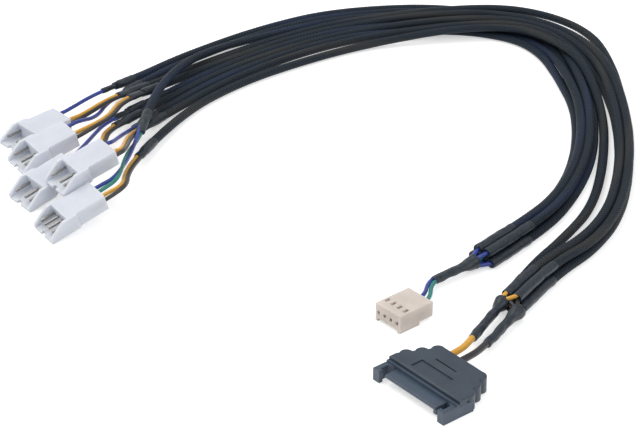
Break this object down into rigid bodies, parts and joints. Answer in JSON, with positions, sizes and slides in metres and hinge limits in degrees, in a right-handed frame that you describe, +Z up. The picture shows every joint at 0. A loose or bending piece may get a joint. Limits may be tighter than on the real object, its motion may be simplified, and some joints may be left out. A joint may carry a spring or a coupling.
{
  "type": "fan splitter cable",
  "caption": "Computer fan splitter cable: a flat power plug and a small control socket joined by braided sleeves with heat-shrink ends to a group of white male fan plugs.",
  "frame": {"origin": "middle of the box round the plugs and the socket, on the surface that the cable lies on", "axes": "+Z up, +X to the right and +Y to the far side of the bend as seen from the plugs' side"},
  "size_m": [0.2016, 0.2558, 0.0174],
  "materials": {
    "braided_sleeve": "woven polyester braid, satin",
    "heatshrink": "satin shrink tube",
    "white_nylon": "moulded, slightly translucent",
    "beige_nylon": "moulded, satin",
    "black_moulding": "moulded, satin",
    "tin_plated_metal": "tin plated",
    "yellow_wire_insulation": "smooth PVC",
    "black_wire_insulation": "smooth PVC",
    "blue_wire_insulation": "smooth PVC",
    "green_wire_insulation": "smooth PVC"
  },
  "bodies": {
    "root": {"black_splice_tails": "black_wire_insulation", "blue_splice_tails": "blue_wire_insulation", "fan_1_black_wire": "black_wire_insulation", "fan_1_blue_wire": "blue_wire_insulation", "fan_1_heatshrinks": "heatshrink", "fan_1_housing": "white_nylon", "fan_1_pins": "tin_plated_metal", "fan_1_yellow_wire": "yellow_wire_insulation", "fan_2_black_wire": "black_wire_insulation", "fan_2_blue_wire": "blue_wire_insulation", "fan_2_heatshrinks": "heatshrink", "fan_2_housing": "white_nylon", "fan_2_pins": "tin_plated_metal", "fan_2_yellow_wire": "yellow_wire_insulation", "fan_3_black_wire": "black_wire_insulation", "fan_3_blue_wire": "blue_wire_insulation", "fan_3_heatshrinks": "heatshrink", "fan_3_housing": "white_nylon", "fan_3_pins": "tin_plated_metal", "fan_3_yellow_wire": "yellow_wire_insulation", "fan_4_black_wire": "black_wire_insulation", "fan_4_blue_wire": "blue_wire_insulation", "fan_4_heatshrinks": "heatshrink", "fan_4_housing": "white_nylon", "fan_4_pins": "tin_plated_metal", "fan_4_yellow_wire": "yellow_wire_insulation", "fan_5_black_wire": "black_wire_insulation", "fan_5_blue_wire": "blue_wire_insulation", "fan_5_green_wire": "green_wire_insulation", "fan_5_heatshrinks": "heatshrink", "fan_5_housing": "white_nylon", "fan_5_pins": "tin_plated_metal", "fan_5_yellow_wire": "yellow_wire_insulation", "green_splice_tails": "green_wire_insulation", "header_blue_wire": "blue_wire_insulation", "header_green_wire": "green_wire_insulation", "header_housing": "beige_nylon", "header_splice_heatshrink": "heatshrink", "header_terminals": "tin_plated_metal", "power_sleeve_1": "braided_sleeve", "power_sleeve_2": "braided_sleeve", "power_sleeve_3": "braided_sleeve", "power_sleeve_4": "braided_sleeve", "power_sleeve_5": "braided_sleeve", "power_source_heatshrinks": "heatshrink", "sata_black_splice_heatshrink": "heatshrink", "sata_black_wire": "black_wire_insulation", "sata_contacts": "tin_plated_metal", "sata_housing": "black_moulding", "sata_rear_cover": "black_moulding", "sata_yellow_splice_heatshrink": "heatshrink", "sata_yellow_wire": "yellow_wire_insulation", "signal_sleeve_1": "braided_sleeve", "signal_sleeve_2": "braided_sleeve", "signal_sleeve_3": "braided_sleeve", "signal_sleeve_4": "braided_sleeve", "signal_sleeve_5": "braided_sleeve", "signal_source_heatshrinks": "heatshrink", "yellow_splice_tails": "yellow_wire_insulation"}
  },
  "joints": []
}
